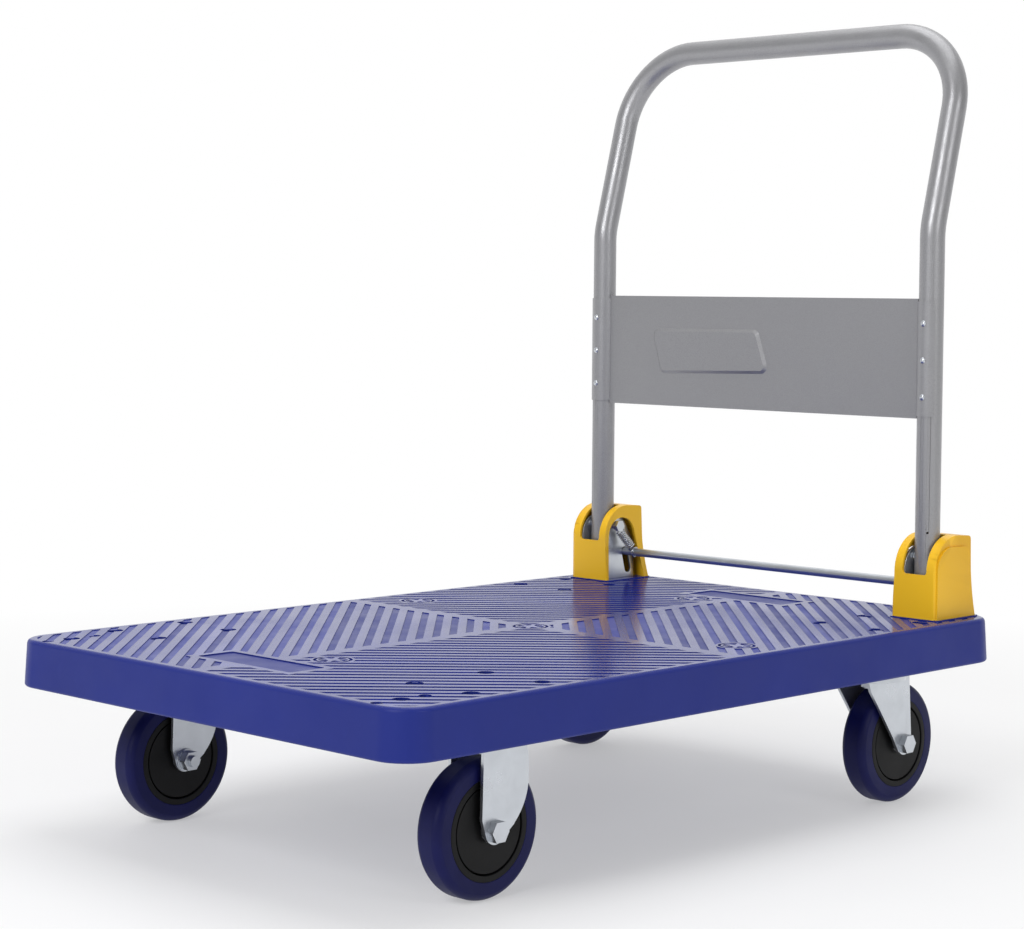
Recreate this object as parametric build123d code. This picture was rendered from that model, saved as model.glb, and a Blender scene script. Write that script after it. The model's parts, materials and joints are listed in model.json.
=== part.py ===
from build123d import *
import math
import os

# Folding platform cart, in millimetres. X is the width, Y the length with the handle at +Y, Z is up.
# The parts are laid out about the platform's centre, with Z = 0 on the floor, and shifted along Y when
# written, so that the origin is under the middle of the whole cart.

# ---- driving dimensions ----
DECK_L = 910.0
DECK_W = 604.0
DECK_SIDE = 49.0
DECK_TOP = 202.5
DECK_CORNER_R = 38.0
DECK_EDGE_R = 5.0
DECK_FOOT_R = 3.0
DECK_DRAFT_DEG = 3.6
SKIRT = 5.0
SKIN = 7.0
RIB = 3.5
RIB_PITCH = 85.0
CASTER_PAD_Z = 161.0

GROOVE_PITCH = 17.2
GROOVE_WIDTH = 8.0
GROOVE_DEPTH = 0.9
CROSS_HALF = 9.0
CROSS_Y = 5.0
GROOVE_MARGIN = 13.0

TUBE_R = 14.0
TUBE_WALL = 1.5
LEG_X = 247.5
LEG_Y = 388.0
FOOT_Z = DECK_TOP + 45.0
KINK_Z = DECK_TOP + 434.0
TILT_DEG = 15.0
GRIP_Z = DECK_TOP + 657.0
GRIP_Y = LEG_Y + (GRIP_Z - KINK_Z) * math.tan(math.radians(TILT_DEG))
CORNER_BEND_R = 90.0
KINK_BEND_R = 80.0

PIVOT_Z = DECK_TOP + 68.0
PIVOT_BOLT_R = 4.0
BAR_R = 5.0
BAR_Y = LEG_Y + 22.0
BAR_Z = DECK_TOP + 34.0
BAR_TRAVEL = 22.0
BAR_DIR = Vector(0, math.sin(math.radians(15)), -math.cos(math.radians(15)))
SLOT_SLACK = 0.4

PAD_H = 1.0
BRACKET_HALF = 18.0
BRACKET_T = 2.5
COVER_HALF = 30.0
COVER_WALL = 3.0
COVER_FRONT = 364.0
COVER_BACK = 442.0
COVER_H = 93.0
COVER_LENGTH = COVER_BACK - COVER_FRONT
COVER_CORNER_R = 3.0
COVER_TOP_R = 40.0
COVER_LEAN = 4.0
COVER_SLOT_HALF = 16.2

WHEEL_R = 67.0
WHEEL_W = 31.5
CORE_R = 49.0
DISC_R = 42.0
BEARING_R = 16.0
BEARING_W = 9.0
SPACER_R = 8.0
AXLE_R = 6.0
RUNNING_GAP = 0.05
LEG_IN = 20.0
LEG_T = 3.5
FIXED_X = 233.0
FIXED_Y = -298.5
SWIVEL_X = 232.5
KINGPIN_Y = 304.5
TRAIL = 35.0
PLATE_T = 3.5
FIXED_BOLTS = (75.0, 92.0)
SWIVEL_BOLTS = (75.0, 80.0)
CASTER_BOLT_R = 4.0
NUT_POCKET_R = 8.5
NUT_POCKET_DEPTH = 22.0

# The cart's middle along Y, between the platform's front edge and the back of the grip.
Y_MIDDLE = (GRIP_Y + TUBE_R - DECK_L / 2) / 2

os.makedirs("parts", exist_ok=True)


def save(name, *solids):
    """Writes one node, shifted so that the origin is under the cart's middle."""
    moved = [Pos(0, -Y_MIDDLE, 0) * s for s in solids]
    shape = moved[0] if len(moved) == 1 else Compound(children=moved)
    export_step(shape, f"parts/{name}.step")


def across(profile, x_from, x_to):
    """Extrudes a profile drawn in (Y, Z) from one X to another."""
    return extrude(Plane.YZ.offset(x_from) * profile, amount=x_to - x_from)


def outline(*points):
    """A closed face through points; a point given as (y, z, "arc") is the middle of an arc."""
    edges = []
    start = points[0]
    via = None
    for p in points[1:] + (points[0],):
        if len(p) == 3:
            via = p[:2]
            continue
        edges.append(ThreePointArc(start[:2], via, p[:2]) if via else Line(start[:2], p[:2]))
        start = p
        via = None
    return make_face(edges)


def disc_x(r, x_from, x_to, y, z, bore=0.0):
    """A disc or ring about an axis along X."""
    ring = Pos(y, z) * Circle(r)
    if bore:
        ring -= Pos(y, z) * Circle(bore)
    return across(ring, x_from, x_to)


def hex_x(flats, x_from, x_to, y, z, bore=0.0):
    """A hexagon about an axis along X, with a bore if it is a nut."""
    body = Pos(y, z) * RegularPolygon(flats / 2, 6, major_radius=False)
    if bore:
        body -= Pos(y, z) * Circle(bore)
    return across(body, x_from, x_to)


def post(r, z_from, z_to, x, y, bore=0.0):
    """A disc or ring about an upright axis."""
    ring = Circle(r) - Circle(bore) if bore else Circle(r)
    return Pos(x, y, z_from) * extrude(ring, amount=z_to - z_from)


def hex_z(flats, z_from, z_to, x, y, bore=0.0):
    """A hexagon about an upright axis, with a bore if it is a nut."""
    body = RegularPolygon(flats / 2, 6, major_radius=False)
    if bore:
        body -= Circle(bore)
    return Pos(x, y, z_from) * extrude(body, amount=z_to - z_from)


def block(x0, x1, y0, y1, z0, z1):
    return Pos((x0 + x1) / 2, (y0 + y1) / 2, (z0 + z1) / 2) * Box(x1 - x0, y1 - y0, z1 - z0)


def flip(shape, side):
    """The right-hand shape, mirrored for the left side."""
    return shape if side > 0 else mirror(shape, Plane.YZ)


SIDES = {"right": 1, "left": -1}
CORNERS = ((1, 1), (1, -1), (-1, 1), (-1, -1))


def pattern(x, y, spacing):
    """The four places of a plate's bolts."""
    return [(x + sx * spacing[0] / 2, y + sy * spacing[1] / 2) for sx, sy in CORNERS]


CASTER_BOLTS = [
    p
    for side in SIDES.values()
    for p in pattern(side * FIXED_X, FIXED_Y, FIXED_BOLTS)
    + pattern(side * SWIVEL_X, KINGPIN_Y, SWIVEL_BOLTS)
]
BRACKET_SCREWS = [
    (side * LEG_X + a, y) for side in SIDES.values() for a in (-8.5, 8.5) for y in (378.0, 400.0)
]
SCREW_R = 3.0
SCREW_BOSS_Z = DECK_TOP - 20.0

# ---- platform ----
# Round bosses with a plain spoke pattern, the blank label frames, and the small holes at the front.
BOSSES = ((2, 5), (244, 61), (-237, 61), (37, -307), (-35, 317))
BOSS_R = 19.5
LABELS = ((0, -368), (0, 372))
LABEL_SIZE = (150.0, 52.0)
FRONT_HOLES = ((-442.0, 6.0), (-413.0, 8.5), (-384.0, 6.0))
FRONT_HOLE_X = 252.0
KINGPIN_HEAD_R = 11.5
KINGPIN_HEAD_H = 6.0


def hinge_pad_face(grow):
    return RectangleRounded(2 * COVER_HALF + grow, COVER_LENGTH + grow, 5)


def groove_face():
    """The grooves seen from above: slanted stripes, turned in each quarter of the platform."""
    count = int(DECK_L / GROOVE_PITCH)
    stripe = Rectangle(2 * DECK_L, GROOVE_WIDTH)
    stripes = Sketch() + [Pos(0, (i + 0.5) * GROOVE_PITCH) * stripe for i in range(-count, count)]
    x_far = DECK_W / 2 - GROOVE_MARGIN
    y_far = DECK_L / 2 - GROOVE_MARGIN
    field = RectangleRounded(2 * x_far, 2 * y_far, DECK_CORNER_R - GROOVE_MARGIN)
    field -= Rectangle(2 * CROSS_HALF, DECK_L)
    field -= Pos(0, CROSS_Y) * Rectangle(DECK_W, 2 * CROSS_HALF)
    for x, y in BOSSES:
        field -= Pos(x, y) * Circle(BOSS_R + 3)
    for x, y in LABELS:
        field -= Pos(x, y) * Rectangle(LABEL_SIZE[0] + 8, LABEL_SIZE[1] + 8)
    for side in SIDES.values():
        field -= Pos(side * LEG_X, (COVER_FRONT + COVER_BACK) / 2) * hinge_pad_face(9)
    made = Sketch()
    for sx, sy in CORNERS:
        quarter = field & Pos(sx * DECK_W / 2, CROSS_Y + sy * DECK_L / 2) * Rectangle(DECK_W, DECK_L)
        made += quarter & (Rot(0, 0, -45 * sx * sy) * stripes)
    return made


def boss_face():
    """A ring, a hub and six spokes, sunk into the platform's top."""
    face = Circle(BOSS_R) - Circle(BOSS_R - 3)
    petals = Circle(BOSS_R - 5) - Circle(7)
    for i in range(3):
        petals -= Rot(0, 0, 60 * i) * Rectangle(2 * BOSS_R, 4.5)
    return face + petals


def platform():
    bottom = DECK_TOP - DECK_SIDE
    body = extrude(RectangleRounded(DECK_W, DECK_L, DECK_CORNER_R), amount=DECK_SIDE, taper=DECK_DRAFT_DEG)
    body = fillet(body.faces().sort_by(Axis.Z)[-1].edges(), DECK_EDGE_R)
    body = fillet(body.faces().sort_by(Axis.Z)[0].edges(), DECK_FOOT_R)
    inner = RectangleRounded(DECK_W - 2 * SKIRT, DECK_L - 2 * SKIRT, DECK_CORNER_R - SKIRT)
    body -= extrude(inner, amount=DECK_SIDE - SKIN, taper=DECK_DRAFT_DEG)
    body = Pos(0, 0, bottom) * body
    under = DECK_TOP - SKIN + 0.5
    web = Sketch()
    for i in range(-3, 4):
        web += Pos(i * RIB_PITCH, 0) * Rectangle(RIB, DECK_L - SKIRT)
    for i in range(-5, 6):
        web += Pos(0, i * RIB_PITCH) * Rectangle(DECK_W - SKIRT, RIB)
    for side in SIDES.values():
        web += Pos(side * FIXED_X, FIXED_Y) * RectangleRounded(106, 124, 8)
        web += Pos(side * SWIVEL_X, KINGPIN_Y) * RectangleRounded(106, 112, 8)
    web &= RectangleRounded(DECK_W - SKIRT - 2, DECK_L - SKIRT - 2, DECK_CORNER_R - SKIRT)
    body += Pos(0, 0, CASTER_PAD_Z) * extrude(web, amount=under - CASTER_PAD_Z)
    cover_y = (COVER_FRONT + COVER_BACK) / 2
    for side in SIDES.values():
        boss = Pos(side * LEG_X, 389, 0) * Rectangle(34, 46)
        body += Pos(0, 0, SCREW_BOSS_Z) * extrude(boss, amount=DECK_TOP - 1 - SCREW_BOSS_Z)
        body -= Pos(0, 0, bottom) * extrude(boss, amount=SCREW_BOSS_Z - bottom)
        pad = extrude(hinge_pad_face(5), amount=PAD_H + 1)
        body += Pos(side * LEG_X, cover_y, DECK_TOP - 1) * pad

    cuts = [Pos(0, 0, DECK_TOP - GROOVE_DEPTH) * extrude(groove_face(), amount=2 * GROOVE_DEPTH)]
    for x, y in BOSSES:
        cuts.append(Pos(x, y, DECK_TOP - 1.6) * extrude(boss_face(), amount=3))
    panel = RectangleRounded(LABEL_SIZE[0] - 8, LABEL_SIZE[1] - 8, 3)
    for x, y in LABELS:
        cuts.append(Pos(x, y, DECK_TOP - 1.2) * extrude(panel, amount=3))
    body -= cuts
    holes = []
    for x, y in CASTER_BOLTS:
        holes.append(post(CASTER_BOLT_R + 0.4, CASTER_PAD_Z - 1, DECK_TOP, x, y))
        holes.append(post(NUT_POCKET_R, DECK_TOP - NUT_POCKET_DEPTH, DECK_TOP + 2, x, y))
    for x, y in BRACKET_SCREWS:
        holes.append(post(SCREW_R + 0.3, SCREW_BOSS_Z - 1, DECK_TOP + 3, x, y))
    for side in SIDES.values():
        for y, r in FRONT_HOLES:
            holes.append(post(r, bottom, DECK_TOP + 2, side * FRONT_HOLE_X, y))
        pocket_top = CASTER_PAD_Z + KINGPIN_HEAD_H + 1.5
        holes.append(post(KINGPIN_HEAD_R + 1, CASTER_PAD_Z - 1, pocket_top, side * SWIVEL_X, KINGPIN_Y))
    body -= holes
    return body


save("platform", platform())

# ---- folding hinge: brackets, covers, pivot, bar and springs ----
BASE_Z = DECK_TOP + PAD_H
BRACKET_BACK = 427.0
BRACKET_FRONT = 368.0
ARCH_Z = DECK_TOP + 54.0
ARCH_R = 26.0
ARCH_Y = BRACKET_FRONT + ARCH_R
ARCH_END = 12.0


def bracket_side():
    """One upright plate of the bracket, in (Y, Z), with the pivot hole and the bar's slanted slot."""
    face = outline(
        (BRACKET_FRONT, BASE_Z),
        (BRACKET_BACK, BASE_Z),
        (BRACKET_BACK, DECK_TOP + 44),
        (ARCH_Y + ARCH_END, ARCH_Z + math.sqrt(ARCH_R**2 - ARCH_END**2)),
        (ARCH_Y - ARCH_R * math.sin(math.pi / 6), ARCH_Z + ARCH_R * math.cos(math.pi / 6), "arc"),
        (BRACKET_FRONT, ARCH_Z),
    )
    face -= Pos(LEG_Y, PIVOT_Z) * Circle(PIVOT_BOLT_R + 0.1)
    length = BAR_TRAVEL + 2 * SLOT_SLACK
    middle = Vector(0, BAR_Y, BAR_Z) + BAR_DIR * (BAR_TRAVEL / 2)
    slot = SlotCenterToCenter(length, 2 * BAR_R + 0.8)
    face -= Pos(middle.Y, middle.Z) * Rot(0, 0, 90 + 15) * slot
    return face


def bracket():
    outer = LEG_X + BRACKET_HALF
    inner = LEG_X - BRACKET_HALF
    body = across(bracket_side(), inner, inner + BRACKET_T)
    body += across(bracket_side(), outer - BRACKET_T, outer)
    body += block(inner, outer, BRACKET_FRONT, BRACKET_BACK, BASE_Z, BASE_Z + BRACKET_T)
    for x, y in BRACKET_SCREWS:
        if x > 0:
            body -= post(SCREW_R + 0.3, BASE_Z - 1, BASE_Z + 4, x, y)
    return body


def cover_profile(inset):
    """The cover's outline in (Y, Z), or the same shape moved inwards by a wall."""
    front = COVER_FRONT + inset
    top = DECK_TOP + COVER_H - inset
    r = COVER_TOP_R - inset
    back = 432.0 - inset
    base = BASE_Z - (1 if inset else 0)
    return outline(
        (front, base),
        (front, top - r),
        (front + r * (1 - math.cos(math.pi / 4)), top - r * (1 - math.sin(math.pi / 4)), "arc"),
        (front + r, top),
        (back - 4, top - 1.5),
        (back - 1.2, top - 2.9, "arc"),
        (back, top - 5.5),
        (back + 0.8, DECK_TOP + 60),
        (back + 3.6, DECK_TOP + 30, "arc"),
        (COVER_BACK - inset, base),
    )


def cover():
    """The moulded cover of the right-hand hinge: a hood with a slot in front and an arched window."""
    x_in = LEG_X - COVER_HALF
    x_out = LEG_X + COVER_HALF - 2
    top = DECK_TOP + COVER_H
    plan = RectangleRounded(x_out - x_in, 2 * COVER_LENGTH, COVER_CORNER_R)
    plan_middle = Pos((x_in + x_out) / 2, COVER_FRONT + COVER_LENGTH, DECK_TOP)
    body = across(cover_profile(0), x_in, x_out) & (plan_middle * extrude(plan, amount=2 * COVER_H))
    lean = Polygon(
        (x_in - 1, DECK_TOP),
        (x_in, BASE_Z),
        (x_in + COVER_LEAN - 1, DECK_TOP + 45),
        (x_in + COVER_LEAN, top + 1),
        (x_in - 1, top + 1),
        align=None,
    )
    body -= extrude(Plane.XZ.offset(-2 * COVER_BACK) * lean, amount=2 * COVER_BACK)
    pad = outline(
        (COVER_FRONT + 2.5, BASE_Z),
        (COVER_FRONT + 2.5, DECK_TOP + 53),
        (COVER_FRONT + 10, DECK_TOP + 73, "arc"),
        (COVER_FRONT + 29, DECK_TOP + 81),
        (COVER_FRONT + 54, DECK_TOP + 80),
        (COVER_FRONT + 63, DECK_TOP + 75, "arc"),
        (COVER_FRONT + 65.5, DECK_TOP + 66),
        (COVER_FRONT + 69, DECK_TOP + 30, "arc"),
        (COVER_BACK - 2.5, BASE_Z),
    )
    body += across(pad, x_out - 1, x_out + 2)
    inside = across(cover_profile(COVER_WALL), x_in + COVER_LEAN + COVER_WALL, x_out - COVER_WALL)
    slot = block(
        LEG_X - COVER_SLOT_HALF,
        LEG_X + COVER_SLOT_HALF,
        COVER_FRONT - 5,
        LEG_Y + TUBE_R + 1.5,
        DECK_TOP + 50,
        DECK_TOP + 120,
    )
    slot = fillet(slot.edges().filter_by(Axis.Y).group_by(Axis.Z)[0], 4)
    window = outline(
        (COVER_FRONT + 4, BASE_Z - 2),
        (COVER_FRONT + 7, DECK_TOP + 56),
        (COVER_FRONT + 29, DECK_TOP + 78, "arc"),
        (COVER_FRONT + 54, DECK_TOP + 62),
        (COVER_FRONT + 71, BASE_Z - 2),
    )
    return body - [inside, slot, across(window, x_in - 1, x_in + COVER_LEAN + COVER_WALL + 1)]


HEAD_A = 26.0
for name, side in SIDES.items():
    save(f"hinge_bracket_{name}", flip(bracket(), side))
    save(f"hinge_cover_{name}", flip(cover(), side))


def pivot_bolt():
    """Its head is on the inner side, held off the bracket for the spring's hook."""
    body = disc_x(PIVOT_BOLT_R, LEG_X - HEAD_A, LEG_X + BRACKET_HALF + 6.5, LEG_Y, PIVOT_Z)
    return body + hex_x(13, LEG_X - HEAD_A - 5, LEG_X - HEAD_A, LEG_Y, PIVOT_Z)


def pivot_nut():
    near = LEG_X + BRACKET_HALF
    return hex_x(13, near, near + 6.5, LEG_Y, PIVOT_Z, PIVOT_BOLT_R)


save("pivot_bolts", *[flip(pivot_bolt(), s) for s in SIDES.values()])
save("pivot_nuts", *[flip(pivot_nut(), s) for s in SIDES.values()])

SCREW_TOP = BASE_Z + BRACKET_T
screws = [
    post(SCREW_R, SCREW_BOSS_Z - 9, SCREW_TOP, x, y) + hex_z(10, SCREW_TOP, SCREW_TOP + 4, x, y)
    for x, y in BRACKET_SCREWS
]
save("bracket_screws", *screws)
save("bracket_nuts", *[hex_z(10, SCREW_BOSS_Z - 5, SCREW_BOSS_Z, x, y, SCREW_R) for x, y in BRACKET_SCREWS])

BAR_END = LEG_X + 24.0
save("release_bar", disc_x(BAR_R, -BAR_END, BAR_END, BAR_Y, BAR_Z))
CLIP_X = LEG_X + BRACKET_HALF + 1.5
clips = [flip(disc_x(8, CLIP_X, CLIP_X + 1.2, BAR_Y, BAR_Z, BAR_R), s) for s in SIDES.values()]
save("bar_clips", *clips)

SPRING_A = 22.6
SPRING_LOW_A = 36.0
SPRING_R = 5.75
SPRING_WIRE = 1.6


def return_spring():
    """The envelope of the extension spring: its coil as a tube with closed ends, and its two hooks."""
    top = Vector(LEG_X - SPRING_A, LEG_Y, PIVOT_Z)
    low = Vector(LEG_X - SPRING_LOW_A, BAR_Y, BAR_Z)
    span = (low - top).length
    plane = Plane(origin=top, z_dir=(low - top).normalized())
    coil_from = 9.5
    coil_to = span - 9.5
    body = extrude(Circle(SPRING_R), amount=coil_to - coil_from)
    hollow = extrude(Circle(SPRING_R - SPRING_WIRE), amount=coil_to - coil_from - 2 * SPRING_WIRE)
    body = Pos(0, 0, coil_from) * (body - Pos(0, 0, SPRING_WIRE) * hollow)
    hook_top = Pos(0, 0, PIVOT_BOLT_R + 0.3) * extrude(Circle(SPRING_WIRE / 2), amount=5.5)
    hook_low = Pos(0, 0, coil_to - 0.5) * extrude(Circle(SPRING_WIRE / 2), amount=9.5 - BAR_R)
    return plane * (body + hook_top + hook_low)


for name, side in SIDES.items():
    save(f"return_spring_{name}", flip(return_spring(), side))

# ---- handle ----
PANEL_T = 1.2
PANEL_Y = 383.0
PANEL_LOW = DECK_TOP + 222.5
PANEL_HIGH = DECK_TOP + 356.5
FLANGE_LOW = PANEL_LOW + 3
FLANGE_HIGH = PANEL_HIGH - 3.5
FLANGE_IN = TUBE_R + 0.05
RIVET_Z = [DECK_TOP + z for z in (247.0, 288.0, 329.0)]
RIVET_R = 2.0
LIP = 8.0
BADGE_H = 2.8
BADGE_SLOPE_DEG = 52.0


def handle_path():
    knees = [
        (-LEG_X, LEG_Y, FOOT_Z),
        (-LEG_X, LEG_Y, KINK_Z),
        (-LEG_X, GRIP_Y, GRIP_Z),
        (LEG_X, GRIP_Y, GRIP_Z),
        (LEG_X, LEG_Y, KINK_Z),
        (LEG_X, LEG_Y, FOOT_Z),
    ]
    return FilletPolyline(*knees, radius=[KINK_BEND_R, CORNER_BEND_R, CORNER_BEND_R, KINK_BEND_R])


def rivet_holes():
    """The holes through the panel's rolled edges and the front of the legs."""
    drill = Rot(90, 0, 0) * Cylinder(RIVET_R, 8)
    return [Pos(side * LEG_X, LEG_Y - TUBE_R, z) * drill for side in SIDES.values() for z in RIVET_Z]


def handle_tube():
    path = handle_path()
    ring = Circle(TUBE_R) - Circle(TUBE_R - TUBE_WALL)
    tube = sweep(Plane(origin=path @ 0, z_dir=path % 0) * ring, path=path)
    for side in SIDES.values():
        middle = side * LEG_X
        tube -= disc_x(6, middle - 20, middle + 20, LEG_Y, PIVOT_Z)
        drain = Plane(origin=(middle, LEG_Y, DECK_TOP + 96), z_dir=(side * 0.7, -1, 0))
        tube -= drain * extrude(Circle(1.3), amount=20)
    return tube - rivet_holes()


save("handle_tube", handle_tube())


def panel():
    """A sheet between the legs: rolled round the front of each tube, lips bent back, blank badge."""
    reach = LEG_X - FLANGE_IN - 0.3
    body = block(-reach, reach, PANEL_Y, PANEL_Y + PANEL_T, PANEL_LOW, PANEL_HIGH)
    lip_reach = reach - 3
    for z in (PANEL_LOW, PANEL_HIGH - PANEL_T):
        body += block(-lip_reach, lip_reach, PANEL_Y, PANEL_Y + LIP, z, z + PANEL_T)
    for side in SIDES.values():
        ring = Circle(FLANGE_IN + PANEL_T) - Circle(FLANGE_IN)
        far = 60.0
        to_front = math.radians(-90 + 50)
        wedge = Polygon(
            (0, 0),
            (-far, (PANEL_Y + PANEL_T - LEG_Y) * far / (FLANGE_IN + 0.6)),
            (-far, -far),
            (far * math.cos(to_front), -far),
            (far * math.cos(to_front), far * math.sin(to_front)),
            align=None,
        )
        roll = Pos(LEG_X, LEG_Y, FLANGE_LOW) * extrude(ring & wedge, amount=FLANGE_HIGH - FLANGE_LOW)
        body += flip(roll, side)
    badge_face = make_face(
        Polyline((-163, 317), (4, 318), (22, 266), (-148, 262), close=True)
    )
    badge_face = fillet(badge_face.vertices(), 9)
    badge_plane = Plane(origin=(0, PANEL_Y, DECK_TOP), x_dir=(1, 0, 0), z_dir=(0, -1, 0))
    raised = extrude(badge_plane * badge_face, amount=BADGE_H, taper=BADGE_SLOPE_DEG)
    body += raised
    return body - rivet_holes()


save("handle_panel", panel())


def rivet(side, z):
    """A blind rivet: its shank in the sheet and the tube's wall, with a low dome outside."""
    seat = TUBE_R + 0.05 + PANEL_T
    dome = Sphere(4.6) & (Pos(0, 0, 5 + 3.0) * Box(12, 12, 10))
    shank = Pos(0, 0, 3.0 - 1.6) * Cylinder(RIVET_R, 3.4)
    shape = Plane(origin=(side * LEG_X, LEG_Y - seat + 3.0, z), x_dir=(1, 0, 0), z_dir=(0, -1, 0)) * (dome + shank)
    return shape


save("panel_rivets", *[rivet(side, z) for side in SIDES.values() for z in RIVET_Z])

LATCH_T = 5.0
CAM_R = 35.0


def latch_plate():
    """A plate held in the tube's foot. Its round lower edge carries the seat that the bar rests against."""
    inside = Pos(0, 0.5) * Rectangle(24.2, 47)
    cam = Circle(CAM_R) & Pos(0.75, -29) * Rectangle(37.5, 12)
    face = Pos(LEG_Y, PIVOT_Z) * (inside + cam - Circle(6))
    return across(face, LEG_X - LATCH_T / 2, LEG_X + LATCH_T / 2)


for name, side in SIDES.items():
    save(f"latch_plate_{name}", flip(latch_plate(), side))
SLEEVE_HALF = 15.2
sleeves = [
    disc_x(6, side * LEG_X - SLEEVE_HALF, side * LEG_X + SLEEVE_HALF, LEG_Y, PIVOT_Z, PIVOT_BOLT_R + RUNNING_GAP)
    for side in SIDES.values()
]
save("pivot_sleeves", *sleeves)

# ---- wheels ----
TREAD_FLAT = 7.5
SHOULDER_DROP = 7.0


def wheel_parts():
    """A wheel about an axis along X through the origin: tyre, core, two face discs and two bearings."""
    half = WHEEL_W / 2
    tyre_face = make_face(
        [
            Line((CORE_R, -half), (WHEEL_R - SHOULDER_DROP, -half)),
            ThreePointArc(
                (WHEEL_R - SHOULDER_DROP, -half),
                (WHEEL_R - 2.0, -half + 3.4),
                (WHEEL_R, -TREAD_FLAT),
            ),
            Line((WHEEL_R, -TREAD_FLAT), (WHEEL_R, TREAD_FLAT)),
            ThreePointArc(
                (WHEEL_R, TREAD_FLAT),
                (WHEEL_R - 2.0, half - 3.4),
                (WHEEL_R - SHOULDER_DROP, half),
            ),
            Line((WHEEL_R - SHOULDER_DROP, half), (CORE_R, half)),
            Line((CORE_R, half), (CORE_R, -half)),
        ]
    )
    rim_in = DISC_R + 0.9
    bore = SPACER_R + 3
    core_face = make_face(
        Polyline(
            (bore, -half + BEARING_W),
            (BEARING_R, -half + BEARING_W),
            (BEARING_R, -half + 3),
            (BEARING_R + 5, -half + 3),
            (BEARING_R + 6, -5),
            (rim_in - 1, -5),
            (rim_in, -half),
            (CORE_R, -half),
            (CORE_R, half),
            (rim_in, half),
            (rim_in - 1, 5),
            (BEARING_R + 6, 5),
            (BEARING_R + 5, half - 3),
            (BEARING_R, half - 3),
            (BEARING_R, half - BEARING_W),
            (bore, half - BEARING_W),
            close=True,
        )
    )
    spin = lambda face: Rot(0, 90, 0) * revolve(Plane.XZ * face, Axis.Z)
    discs = [
        across(Circle(DISC_R - 0.9) - Circle(SPACER_R + 2), half - 3, half - 0.8),
        across(Circle(DISC_R - 0.9) - Circle(SPACER_R + 2), -half + 0.8, -half + 3),
    ]
    bearings = []
    for s in (1, -1):
        ring = Circle(BEARING_R) - Circle(SPACER_R + RUNNING_GAP)
        body = across(ring, 0, BEARING_W - 3.4)
        bearings.append(Pos(s * (half - BEARING_W) if s > 0 else -half + 3.4, 0, 0) * body)
    return {
        "tyre": [spin(tyre_face)],
        "core": [spin(core_face)],
        "discs": discs,
        "bearings": bearings,
    }


WHEELS = {
    "front_right": (FIXED_X, FIXED_Y, 1),
    "front_left": (-FIXED_X, FIXED_Y, -1),
    "rear_right": (SWIVEL_X, KINGPIN_Y + TRAIL, 1),
    "rear_left": (-SWIVEL_X, KINGPIN_Y + TRAIL, -1),
}
made = wheel_parts()
for corner, (x, y, side) in WHEELS.items():
    for part, solids in made.items():
        save(f"wheel_{part}_{corner}", *[Pos(x, y, WHEEL_R) * s for s in solids])

# ---- axles ----
LEG_OUT = LEG_IN + LEG_T


def axle_bolt(x, y, side):
    body = disc_x(AXLE_R, x - side * 40.5, x + side * LEG_OUT, y, WHEEL_R)
    return body + hex_x(19, x + side * LEG_OUT, x + side * (LEG_OUT + 7.5), y, WHEEL_R)


def axle_washer(x, y, side):
    return disc_x(12, x - side * LEG_OUT, x - side * (LEG_OUT + 2), y, WHEEL_R, AXLE_R)


def axle_nut(x, y, side):
    return hex_x(19, x - side * (LEG_OUT + 2), x - side * (LEG_OUT + 12), y, WHEEL_R, AXLE_R)


def axle_spacer(x, y, side):
    return disc_x(SPACER_R, x - side * LEG_IN, x + side * LEG_IN, y, WHEEL_R, AXLE_R)


AXLE_PIECES = {
    "axle_bolt": axle_bolt,
    "axle_washer": axle_washer,
    "axle_nut": axle_nut,
    "axle_spacer": axle_spacer,
}
for piece, make in AXLE_PIECES.items():
    save(f"fixed_{piece}s", *[make(*WHEELS[c]) for c in ("front_right", "front_left")])
    for name in SIDES:
        save(f"swivel_{piece}_{name}", make(*WHEELS[f"rear_{name}"]))

# ---- fixed casters ----
FOOT_R = 12.7
FLANGE_DEG = 10.0
TOP_Z = CASTER_PAD_Z - PLATE_T


def fixed_leg_outline(y):
    """The leg in (Y, Z): straight in front, swelling behind, with a round foot about the axle."""
    foot = Pos(y, WHEEL_R) * Circle(FOOT_R)
    blade = outline(
        (y - 15, TOP_Z + 1),
        (y - 17, WHEEL_R + 12),
        (y - FOOT_R, WHEEL_R - 2),
        (y + 5, WHEEL_R - FOOT_R + 1.2),
        (y + 24, WHEEL_R + 3),
        (y + 36, WHEEL_R + 22, "arc"),
        (y + 41, WHEEL_R + 48),
        (y + 40, WHEEL_R + 70, "arc"),
        (y + 34, TOP_Z + 1),
    )
    return blade + foot


def fixed_fork(x, y):
    """Top plate and two pressed legs. Behind a vertical bend, each leg's edge turns a little outwards."""
    body = Pos(x, y, TOP_Z) * extrude(RectangleRounded(100, 118, 8), amount=PLATE_T)
    leg = fixed_leg_outline(y)
    bend_y = y + 25
    bend_low = WHEEL_R + 6
    behind = Pos(bend_y + 50, WHEEL_R) * Rectangle(100, 300)
    for s in (1, -1):
        near, far = x + s * LEG_IN, x + s * LEG_OUT
        body += across(leg - behind, near, far)
        hinge = Pos((near + far) / 2, bend_y, 0)
        flange = hinge.inverse() * across(leg & behind, near, far)
        body += hinge * Rot(0, 0, -s * FLANGE_DEG) * flange
        body += post(LEG_T / 2, bend_low, TOP_Z + 1, (near + far) / 2, bend_y)
    body -= disc_x(AXLE_R, x - 40, x + 40, y, WHEEL_R)
    for bx, by in pattern(x, y, FIXED_BOLTS):
        body -= post(CASTER_BOLT_R + 0.4, TOP_Z - 1, CASTER_PAD_Z + 1, bx, by)
    return body


for name, side in SIDES.items():
    save(f"fixed_fork_{name}", fixed_fork(side * FIXED_X, FIXED_Y))

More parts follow.
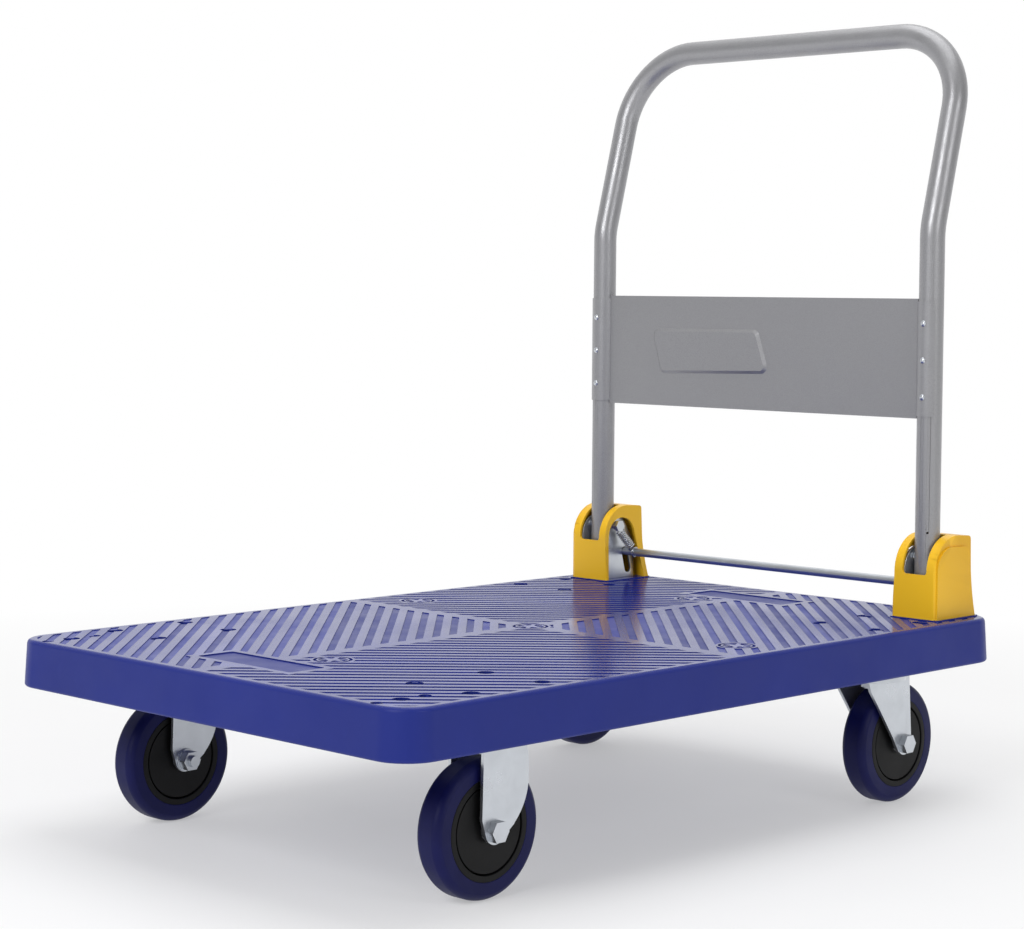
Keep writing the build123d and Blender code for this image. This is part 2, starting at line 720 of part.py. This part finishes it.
# ---- swivel casters ----
KINGPIN_R = 6.0
CROWN_Z = 141.0
CROWN_T = 3.5
CROWN_R = 40.0
RACE_R = 27.0
BALL_R = 3.0
BALL_COUNT = 18
CROWN_TOP = CROWN_Z + CROWN_T
BALL_Z = CROWN_TOP + BALL_R + 0.25
RACE_TOP = BALL_Z + BALL_R + 0.25


def swivel_plate(x):
    """The top plate, with the upper race ring under it."""
    body = Pos(x, KINGPIN_Y, TOP_Z) * extrude(RectangleRounded(100, 106, 8), amount=PLATE_T)
    body += post(RACE_R + 8, RACE_TOP, TOP_Z, x, KINGPIN_Y)
    body -= post(KINGPIN_R, RACE_TOP - 1, CASTER_PAD_Z + 1, x, KINGPIN_Y)
    for bx, by in pattern(x, KINGPIN_Y, SWIVEL_BOLTS):
        body -= post(CASTER_BOLT_R + 0.4, TOP_Z - 1, CASTER_PAD_Z + 1, bx, by)
    return body


def kingpin(x):
    """A round-headed pin down through the plate and the crown."""
    body = post(KINGPIN_R, CROWN_Z - 11, CASTER_PAD_Z, x, KINGPIN_Y)
    return body + post(KINGPIN_HEAD_R, CASTER_PAD_Z, CASTER_PAD_Z + KINGPIN_HEAD_H, x, KINGPIN_Y)


def kingpin_nut(x):
    return hex_z(17, CROWN_Z - 9.5, CROWN_Z - 1.5, x, KINGPIN_Y, KINGPIN_R)


def swivel_leg_outline():
    """The leg in (Y, Z): slanting in front towards the trailing axle, nearly upright behind."""
    y = KINGPIN_Y + TRAIL
    foot = Pos(y, WHEEL_R) * Circle(FOOT_R)
    blade = outline(
        (KINGPIN_Y - 32, CROWN_Z),
        (KINGPIN_Y - 28, CROWN_Z - 10),
        (KINGPIN_Y - 11, WHEEL_R + 42),
        (y - 21, WHEEL_R + 8),
        (y - 10.5, WHEEL_R - 8.5),
        (y + FOOT_R, WHEEL_R),
        (y + 7, CROWN_TOP),
        (KINGPIN_Y - 32, CROWN_TOP),
    )
    return blade + foot


def swivel_fork(x):
    """Crown with a raised rim round the balls, and two legs pressed down from it."""
    crown = Circle(CROWN_R) + Pos(0, 22) * RectangleRounded(2 * LEG_OUT, 40, 3)
    body = Pos(x, KINGPIN_Y, CROWN_Z) * extrude(crown, amount=CROWN_T)
    body += post(CROWN_R, CROWN_Z, CROWN_TOP + 7, x, KINGPIN_Y, CROWN_R - 2.5)
    for s in (1, -1):
        body += across(swivel_leg_outline(), x + s * LEG_IN, x + s * LEG_OUT)
    body -= post(KINGPIN_R + RUNNING_GAP, CROWN_Z - 1, CROWN_TOP + 1, x, KINGPIN_Y)
    body -= disc_x(AXLE_R, x - 40, x + 40, KINGPIN_Y + TRAIL, WHEEL_R)
    return body


def ball_ring(x):
    balls = []
    for i in range(BALL_COUNT):
        a = 2 * math.pi * i / BALL_COUNT
        balls.append(Pos(x + RACE_R * math.cos(a), KINGPIN_Y + RACE_R * math.sin(a), BALL_Z) * Sphere(BALL_R))
    return balls


for name, side in SIDES.items():
    save(f"swivel_plate_{name}", swivel_plate(side * SWIVEL_X))
    save(f"swivel_fork_{name}", swivel_fork(side * SWIVEL_X))
    save(f"ball_ring_{name}", *ball_ring(side * SWIVEL_X))
save("kingpins", *[kingpin(s * SWIVEL_X) for s in SIDES.values()])
save("kingpin_nuts", *[kingpin_nut(s * SWIVEL_X) for s in SIDES.values()])

# ---- fasteners of the caster plates ----
POCKET_Z = DECK_TOP - NUT_POCKET_DEPTH
bolts = [
    post(CASTER_BOLT_R, TOP_Z, POCKET_Z + 9, x, y) + hex_z(13, TOP_Z - 5.3, TOP_Z, x, y)
    for x, y in CASTER_BOLTS
]
save("caster_bolts", *bolts)
save("caster_washers", *[post(8, POCKET_Z, POCKET_Z + 1.6, x, y, CASTER_BOLT_R) for x, y in CASTER_BOLTS])
nuts = [hex_z(13, POCKET_Z + 1.6, POCKET_Z + 8.1, x, y, CASTER_BOLT_R) for x, y in CASTER_BOLTS]
save("caster_nuts", *nuts)
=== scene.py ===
import bpy
import bmesh
import json
import math
from mathutils import Matrix, Vector


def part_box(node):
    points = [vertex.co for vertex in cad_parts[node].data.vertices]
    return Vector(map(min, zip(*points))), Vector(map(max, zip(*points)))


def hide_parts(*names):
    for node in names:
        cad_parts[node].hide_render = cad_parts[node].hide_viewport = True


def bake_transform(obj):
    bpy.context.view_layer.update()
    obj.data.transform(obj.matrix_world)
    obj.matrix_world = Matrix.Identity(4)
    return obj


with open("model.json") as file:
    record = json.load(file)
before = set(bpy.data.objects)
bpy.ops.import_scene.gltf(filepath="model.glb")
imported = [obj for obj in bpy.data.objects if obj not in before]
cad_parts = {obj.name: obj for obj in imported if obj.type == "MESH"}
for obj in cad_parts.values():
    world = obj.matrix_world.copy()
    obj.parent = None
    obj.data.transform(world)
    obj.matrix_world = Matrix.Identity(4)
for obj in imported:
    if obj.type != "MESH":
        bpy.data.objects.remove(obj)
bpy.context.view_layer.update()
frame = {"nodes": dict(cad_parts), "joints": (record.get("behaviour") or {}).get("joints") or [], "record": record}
RECORD = frame["record"]
NODES = frame["nodes"]
JOINTS = {j["name"]: j for j in frame["joints"]}

# ---- colours, linear ----
DECK_BLUE = (0.012, 0.024, 0.215)
HINGE_YELLOW = (0.8, 0.44, 0.008)
GREY_PAINT = (0.35, 0.35, 0.363)
TYRE_BLUE = (0.003, 0.0045, 0.07)
CORE_BLACK = (0.005, 0.005, 0.0054)
ZINC = (0.62, 0.65, 0.69)
PLAIN_STEEL = (0.44, 0.44, 0.45)
SPRING_WIRE_COLOUR = (0.55, 0.57, 0.6)
FLOOR_WHITE = (0.86, 0.86, 0.87)


# ---- materials ----
class Finish:
    """A material under construction: a Principled shader and short ways to add what varies over it."""

    def __init__(self, name, metallic=0.0, coat=0.0, coat_roughness=0.1, specular=0.5):
        self.material = bpy.data.materials.new(name)
        self.material.use_nodes = True
        self.tree = self.material.node_tree
        self.shader = self.tree.nodes["Principled BSDF"]
        self.shader.inputs["Metallic"].default_value = metallic
        self.shader.inputs["Coat Weight"].default_value = coat
        self.shader.inputs["Coat Roughness"].default_value = coat_roughness
        self.shader.inputs["Specular IOR Level"].default_value = specular
        self.place = self.tree.nodes.new("ShaderNodeTexCoord").outputs["Object"]
        self.normal = None

    def link(self, a, b):
        self.tree.links.new(a, b)

    def stretched(self, scale):
        node = self.tree.nodes.new("ShaderNodeMapping")
        node.inputs["Scale"].default_value = scale
        self.link(self.place, node.inputs["Vector"])
        return node.outputs["Vector"]

    def noise(self, scale, detail=3.0, stretch=None, distortion=0.0):
        node = self.tree.nodes.new("ShaderNodeTexNoise")
        node.inputs["Scale"].default_value = scale
        node.inputs["Detail"].default_value = detail
        node.inputs["Distortion"].default_value = distortion
        self.link(self.stretched(stretch) if stretch else self.place, node.inputs["Vector"])
        return node.outputs["Fac"]

    def cells(self, scale):
        node = self.tree.nodes.new("ShaderNodeTexVoronoi")
        node.inputs["Scale"].default_value = scale
        self.link(self.place, node.inputs["Vector"])
        return node.outputs["Distance"]

    def ramp(self, fac, low, high, low_colour, high_colour):
        node = self.tree.nodes.new("ShaderNodeValToRGB")
        node.color_ramp.elements[0].position = low
        node.color_ramp.elements[1].position = high
        node.color_ramp.elements[0].color = (*low_colour, 1)
        node.color_ramp.elements[1].color = (*high_colour, 1)
        self.link(fac, node.inputs["Fac"])
        return node.outputs["Color"]

    def spread(self, fac, low, high, to_low, to_high):
        node = self.tree.nodes.new("ShaderNodeMapRange")
        node.inputs["From Min"].default_value = low
        node.inputs["From Max"].default_value = high
        node.inputs["To Min"].default_value = to_low
        node.inputs["To Max"].default_value = to_high
        self.link(fac, node.inputs["Value"])
        return node.outputs["Result"]

    def mix(self, fac, a, b):
        node = self.tree.nodes.new("ShaderNodeMix")
        node.data_type = "RGBA"
        self.link(fac, node.inputs["Factor"])
        for value, socket in ((a, node.inputs[6]), (b, node.inputs[7])):
            if isinstance(value, tuple):
                socket.default_value = (*value, 1)
            else:
                self.link(value, socket)
        return node.outputs[2]

    def blend(self, fac, a, b):
        node = self.tree.nodes.new("ShaderNodeMix")
        self.link(fac, node.inputs["Factor"])
        self.link(a, node.inputs[2])
        self.link(b, node.inputs[3])
        return node.outputs[0]

    def height(self):
        node = self.tree.nodes.new("ShaderNodeSeparateXYZ")
        self.link(self.place, node.inputs["Vector"])
        return node.outputs["Z"]

    def edges(self, low, high):
        """How sharp an outward edge is, from 0 to 1."""
        node = self.tree.nodes.new("ShaderNodeNewGeometry")
        return self.spread(node.outputs["Pointiness"], low, high, 0.0, 1.0)

    def colour(self, socket):
        self.link(socket, self.shader.inputs["Base Color"])

    def roughness(self, socket):
        self.link(socket, self.shader.inputs["Roughness"])

    def bump(self, height, strength, distance):
        node = self.tree.nodes.new("ShaderNodeBump")
        node.inputs["Strength"].default_value = strength
        node.inputs["Distance"].default_value = distance
        self.link(height, node.inputs["Height"])
        if self.normal:
            self.link(self.normal, node.inputs["Normal"])
        self.normal = node.outputs["Normal"]
        self.link(self.normal, self.shader.inputs["Normal"])


def shade(colour, k, add=0.0):
    return tuple(min(1.0, c * k + add) for c in colour)


BAND = (0.3, 0.7)  # where most of a noise texture's values lie


def moulded_plastic(name, colour, rough, grain, specular=0.5, polished_from=None):
    """Moulded plastic: fine grain, slow colour drift, faint scuffs and paler edges.

    Where the surface is higher than polished_from, it is polished by wear.
    """
    f = Finish(name, specular=specular)
    drift = f.ramp(f.noise(scale=7.0, detail=5.0), *BAND, shade(colour, 0.93), shade(colour, 1.07))
    streaks = f.noise(scale=90.0, detail=6.0, stretch=(1.0, 4.0, 1.0))
    scuffs = f.spread(streaks, 0.6, 0.85, 0.0, 0.12)
    worn = f.mix(scuffs, drift, shade(colour, 1.4, add=0.01))
    f.colour(f.mix(f.edges(0.53, 0.6), worn, shade(colour, 1.3, add=0.008)))
    dull = f.spread(f.noise(scale=26.0, detail=6.0), 0.3, 0.72, rough - 0.06, rough + 0.09)
    if polished_from is None:
        f.roughness(dull)
    else:
        polished = f.spread(f.height(), polished_from, polished_from + POLISH_DEPTH, 0.0, 1.0)
        gloss = f.spread(f.noise(scale=9.0, detail=4.0), *BAND, 0.15, 0.24)
        f.roughness(f.blend(polished, dull, gloss))
    f.bump(f.noise(scale=900.0, detail=2.0), strength=grain, distance=0.0003)
    f.bump(f.noise(scale=14.0, detail=2.0), strength=0.04, distance=0.003)
    return f.material


def powder_coat(name, colour):
    """Silver powder coat on steel: orange peel, metal flake and a slightly uneven gloss."""
    f = Finish(name, metallic=0.55, coat=0.25, coat_roughness=0.22)
    flake = f.ramp(f.cells(scale=1500.0), 0.1, 0.75, shade(colour, 1.16), shade(colour, 0.86))
    cloud = f.spread(f.noise(scale=11.0, detail=4.0), *BAND, 0.0, 0.3)
    f.colour(f.mix(cloud, flake, shade(colour, 0.93)))
    f.roughness(f.spread(f.noise(scale=40.0, detail=5.0), *BAND, 0.33, 0.45))
    f.bump(f.noise(scale=420.0, detail=2.0), strength=0.1, distance=0.0006)
    return f.material


def zinc_plate(name, colour, rough):
    """Bright zinc on pressed steel: a faint cloud, small dull spots and drawing lines."""
    f = Finish(name, metallic=0.95)
    cloud = f.noise(scale=45.0, detail=5.0, distortion=0.4)
    plated = f.ramp(cloud, *BAND, shade(colour, 0.94), shade(colour, 1.04))
    spots = f.spread(f.cells(scale=240.0), 0.0, 0.07, 0.22, 0.0)
    f.colour(f.mix(spots, plated, shade(colour, 0.75)))
    f.roughness(f.spread(f.noise(scale=30.0, detail=5.0), *BAND, rough - 0.03, rough + 0.05))
    lines = f.noise(scale=240.0, detail=2.0, stretch=(1.0, 1.0, 0.08))
    f.bump(lines, strength=0.07, distance=0.0004)
    f.bump(f.noise(scale=1200.0, detail=2.0), strength=0.05, distance=0.0002)
    return f.material


def rubber(name, colour):
    """Tyre rubber: fine mould texture, a faint bloom and a little dust."""
    f = Finish(name, specular=0.22)
    patches = f.noise(scale=22.0, detail=5.0)
    bloom = f.ramp(patches, 0.35, 0.75, shade(colour, 0.85), shade(colour, 1.15, add=0.001))
    dust = f.spread(f.noise(scale=150.0, detail=4.0), 0.62, 0.8, 0.0, 0.1)
    f.colour(f.mix(dust, bloom, shade(colour, 1.0, add=0.03)))
    f.roughness(f.spread(f.noise(scale=30.0, detail=5.0), *BAND, 0.42, 0.56))
    f.bump(f.noise(scale=700.0, detail=3.0), strength=0.12, distance=0.0003)
    return f.material


FLOOR_GLOW = 0.4  # share of the floor's white that needs no light, so that shadows stay soft
FADE_FROM = 0.45  # metres from the cart's middle, where the floor starts to fade to plain white
FADE_TO = 1.8


def floor_finish():
    """A pale floor that fades into the white background well away from the cart."""
    f = Finish("floor", specular=0.2)
    cloud = f.noise(scale=3.0, detail=3.0)
    f.colour(f.ramp(cloud, *BAND, shade(FLOOR_WHITE, 0.99), shade(FLOOR_WHITE, 1.01)))
    f.roughness(f.spread(f.noise(scale=20.0, detail=3.0), *BAND, 0.6, 0.7))
    distance = f.tree.nodes.new("ShaderNodeVectorMath")
    distance.operation = "LENGTH"
    f.link(f.place, distance.inputs[0])
    fade = f.spread(distance.outputs["Value"], FADE_FROM, FADE_TO, FLOOR_GLOW, 1.0)
    white = f.tree.nodes.new("ShaderNodeEmission")
    mixed = f.tree.nodes.new("ShaderNodeMixShader")
    f.link(fade, mixed.inputs[0])
    f.link(f.shader.outputs[0], mixed.inputs[1])
    f.link(white.outputs[0], mixed.inputs[2])
    f.link(mixed.outputs[0], f.tree.nodes["Material Output"].inputs["Surface"])
    return f.material


DECK_TOP = next(m for m in RECORD["mounts"] if m["name"] == "deck_top")["pos_m"][2]
POLISH_FROM = DECK_TOP - 0.0008  # just over the floors of the grooves
POLISH_DEPTH = 0.0006
MATERIALS = {
    "deck_plastic": moulded_plastic(
        "deck_plastic", DECK_BLUE, rough=0.42, grain=0.1, specular=0.24, polished_from=POLISH_FROM
    ),
    "hinge_plastic": moulded_plastic(
        "hinge_plastic", HINGE_YELLOW, rough=0.34, grain=0.1, specular=0.34
    ),
    "grey_paint": powder_coat("grey_paint", GREY_PAINT),
    "tyre": rubber("tyre", TYRE_BLUE),
    "wheel_core": moulded_plastic("wheel_core", CORE_BLACK, rough=0.45, grain=0.2, specular=0.2),
    "zinc": zinc_plate("zinc", ZINC, rough=0.3),
    "steel": zinc_plate("steel", PLAIN_STEEL, rough=0.36),
    "spring_steel": zinc_plate("spring_steel", SPRING_WIRE_COLOUR, rough=0.24),
}

# ---- CAD pieces: materials and edges ----
WELD_GAP = 0.000005
SHARP_ANGLE = math.radians(30)
EVEN_WEIGHT = 80
PLAIN_EDGE = 0.0003
EDGE_WIDTH = {
    "platform": 0.0005,
    "handle_tube": 0.0002,
    "wheel_tyre": 0.0008,
    "wheel_core": 0.0006,
    "fixed_fork": 0.0005,
    "swivel_fork": 0.0005,
}


def clean_edges(obj, width):
    """Joins the mesh's split corners, rounds its sharp edges by a hair and shades it smoothly."""
    obj.data.shade_smooth()
    weld = obj.modifiers.new("weld", "WELD")
    weld.merge_threshold = WELD_GAP
    round_off = obj.modifiers.new("round", "BEVEL")
    round_off.width = width
    round_off.segments = 2
    round_off.limit_method = "ANGLE"
    round_off.angle_limit = SHARP_ANGLE
    even = obj.modifiers.new("even", "WEIGHTED_NORMAL")
    even.weight = EVEN_WEIGHT


for part in RECORD["subparts"]:
    node = part["node"]
    obj = NODES[node]
    obj.data.materials.clear()
    obj.data.materials.append(MATERIALS[part["material_slot"]])
    if not node.startswith("hinge_cover"):  # a cover's own shading already follows its rounded edges
        clean_edges(obj, next((w for key, w in EDGE_WIDTH.items() if node.startswith(key)), PLAIN_EDGE))


# ---- return springs: real coils in place of their plain envelopes ----
WIRE_SIDES = 10


def wire(name, points, radius):
    """A round wire as a closed mesh along points."""
    mesh = bmesh.new()
    frames = []
    side = None
    for i, p in enumerate(points):
        ahead = points[min(i + 1, len(points) - 1)] - points[max(i - 1, 0)]
        along = ahead.normalized()
        if side is None:
            side = along.orthogonal().normalized()
        side = (side - along * side.dot(along)).normalized()
        frames.append((p, side.copy(), along.cross(side)))
    rings = []
    for p, a, b in frames:
        ring = []
        for k in range(WIRE_SIDES):
            t = 2 * math.pi * k / WIRE_SIDES
            ring.append(mesh.verts.new(p + radius * (math.cos(t) * a + math.sin(t) * b)))
        rings.append(ring)
    for low, high in zip(rings, rings[1:]):
        for k in range(WIRE_SIDES):
            n = (k + 1) % WIRE_SIDES
            mesh.faces.new((low[k], low[n], high[n], high[k]))
    mesh.faces.new(rings[0][::-1])
    mesh.faces.new(rings[-1])
    data = bpy.data.meshes.new(name)
    mesh.to_mesh(data)
    mesh.free()
    data.shade_smooth()
    obj = bpy.data.objects.new(name, data)
    bpy.context.scene.collection.objects.link(obj)
    return obj


WIRE_R = 0.0008
COIL_R = 0.00495  # to the middle of the wire
COIL_TURNS = 9
COIL_STEPS = 20  # in one turn
COIL_START = math.radians(90)
PIVOT_R = 0.004
BAR_R = 0.005
HOOK_IN = 0.0226  # from the leg's middle in to the hook on the bolt
HOOK_OUT = 0.036  # and in to the hook on the bar
HOOK_TURN = math.radians(270)
HOOK_STEPS = 18
TOP_HOOK_START = math.radians(-60)
LOW_HOOK_START = math.radians(150)
TOP_NECK = 0.0035
LOW_NECK = 0.0025


def hook(centre, radius, start, turn, down, out):
    """A loop of wire round a bolt or bar, seen as an arc from start through turn."""
    angles = [start + turn * k / HOOK_STEPS for k in range(HOOK_STEPS + 1)]
    return [centre + radius * (-math.cos(t) * down + math.sin(t) * out) for t in angles]


def spring_points(top, low):
    """The wire's line: a loop over the bolt's neck, a close coil, and a loop round the bar."""
    sideways = Vector((1, 0, 0))
    down = (low - top).normalized()
    across = (sideways - down * down.x).normalized()
    out = down.cross(across)
    plain_down = Vector((0, down.y, down.z)).normalized()
    plain_out = plain_down.cross(sideways)
    coil_from = PIVOT_R + 2 * WIRE_R + TOP_NECK
    coil_to = (low - top).length - BAR_R - 2 * WIRE_R - LOW_NECK
    coil = []
    steps = COIL_TURNS * COIL_STEPS
    for k in range(steps + 1):
        t = 2 * math.pi * k / COIL_STEPS + COIL_START
        d = coil_from + (coil_to - coil_from) * k / steps
        coil.append(top + d * down + COIL_R * (math.cos(t) * across + math.sin(t) * out))
    top_hook = hook(top, PIVOT_R + WIRE_R, TOP_HOOK_START, HOOK_TURN, plain_down, plain_out)
    low_hook = hook(low, BAR_R + WIRE_R, LOW_HOOK_START, -HOOK_TURN, plain_down, plain_out)
    return top_hook + coil + low_hook


bar_low, bar_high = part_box("release_bar")
bar_centre = (bar_low + bar_high) / 2
pivot = Vector(JOINTS["handle_fold"]["pos_m"])
for name, side in (("left", -1), ("right", 1)):
    low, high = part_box(f"hinge_bracket_{name}")
    leg_x = (low.x + high.x) / 2
    top_point = Vector((leg_x - side * HOOK_IN, pivot.y, pivot.z))
    low_point = Vector((leg_x - side * HOOK_OUT, bar_centre.y, bar_centre.z))
    spring = wire(f"return_spring_coil_{name}", spring_points(top_point, low_point), WIRE_R)
    spring.data.materials.append(MATERIALS["spring_steel"])
    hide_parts(f"return_spring_{name}")
    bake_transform(spring)


# ---- floor, light and camera ----
def plane(name, size, z):
    mesh = bpy.data.meshes.new(name)
    h = size / 2
    mesh.from_pydata([(-h, -h, z), (h, -h, z), (h, h, z), (-h, h, z)], [], [(0, 1, 2, 3)])
    obj = bpy.data.objects.new(name, mesh)
    bpy.context.scene.collection.objects.link(obj)
    return obj


FLOOR_SIZE = 60.0
floor = plane("floor", FLOOR_SIZE, 0.0)
floor.data.materials.append(floor_finish())

BEHIND = (-0.7, 0.7, 0.1)  # away from the camera and a little up
DIM = 0.26
BRIGHT = 1.0
DIM_UP_TO = -0.1  # how far a direction points toward BEHIND
BRIGHT_FROM = 0.75


def studio_world():
    """White to the eye all round. As light, it is bright behind the cart and dimmer in front."""
    made = bpy.data.worlds.new("studio")
    made.use_nodes = True
    tree = made.node_tree
    place = tree.nodes.new("ShaderNodeTexCoord").outputs["Generated"]
    toward = tree.nodes.new("ShaderNodeVectorMath")
    toward.operation = "DOT_PRODUCT"
    toward.inputs[1].default_value = BEHIND
    tree.links.new(place, toward.inputs[0])
    level = tree.nodes.new("ShaderNodeMapRange")
    level.inputs["From Min"].default_value = DIM_UP_TO
    level.inputs["From Max"].default_value = BRIGHT_FROM
    level.inputs["To Min"].default_value = DIM
    level.inputs["To Max"].default_value = BRIGHT
    tree.links.new(toward.outputs["Value"], level.inputs["Value"])
    strength = tree.nodes.new("ShaderNodeMix")
    seen = tree.nodes.new("ShaderNodeLightPath").outputs["Is Camera Ray"]
    tree.links.new(seen, strength.inputs["Factor"])
    tree.links.new(level.outputs["Result"], strength.inputs[2])
    strength.inputs[3].default_value = 1.0
    background = tree.nodes["Background"]
    background.inputs["Color"].default_value = (1.0, 1.0, 1.0, 1)
    tree.links.new(strength.outputs[0], background.inputs["Strength"])
    return made


bpy.context.scene.world = studio_world()


def softbox(name, place, aim, size, watts):
    data = bpy.data.lights.new(name, "AREA")
    data.shape = "RECTANGLE"
    data.size, data.size_y = size
    data.energy = watts
    obj = bpy.data.objects.new(name, data)
    obj.location = place
    obj.rotation_euler = (Vector(aim) - Vector(place)).to_track_quat("-Z", "Y").to_euler()
    bpy.context.scene.collection.objects.link(obj)


MIDDLE = (0.0, 0.0, 0.35)
softbox("key", (0.5, -2.9, 2.1), MIDDLE, size=(1.4, 1.4), watts=54)
softbox("fill", (3.0, -0.2, 1.5), MIDDLE, size=(1.2, 1.2), watts=15)
softbox("top", (0.0, 0.3, 3.0), MIDDLE, size=(2.4, 2.4), watts=34)

# The camera stands off the cart's front right corner, almost level with the deck.
CAMERA_AT = Vector((1.8321, -1.8647, 0.5672))
CAMERA_AZIMUTH = math.radians(44.897)
CAMERA_ELEVATION = math.radians(3.334)
CAMERA_ROLL = math.radians(0.431)
CAMERA_SENSOR = 36.0
CAMERA_LENS = 85.53
CAMERA_SHIFT = (-0.0006, -0.0337)
back = Vector(
    (
        math.sin(CAMERA_AZIMUTH) * math.cos(CAMERA_ELEVATION),
        -math.cos(CAMERA_AZIMUTH) * math.cos(CAMERA_ELEVATION),
        math.sin(CAMERA_ELEVATION),
    )
)
sideways = (-back).cross(Vector((0, 0, 1))).normalized()
upright = sideways.cross(-back)
right = math.cos(CAMERA_ROLL) * sideways + math.sin(CAMERA_ROLL) * upright
up = -math.sin(CAMERA_ROLL) * sideways + math.cos(CAMERA_ROLL) * upright
turn = Matrix((right, up, back)).transposed()
lens = bpy.data.cameras.new("camera")
lens.sensor_width = CAMERA_SENSOR
lens.lens = CAMERA_LENS
lens.shift_x, lens.shift_y = CAMERA_SHIFT
camera = bpy.data.objects.new("camera", lens)
camera.matrix_world = Matrix.Translation(CAMERA_AT) @ turn.to_4x4()
bpy.context.scene.collection.objects.link(camera)
bpy.context.scene.camera = camera
bpy.context.scene.view_settings.view_transform = "Standard"
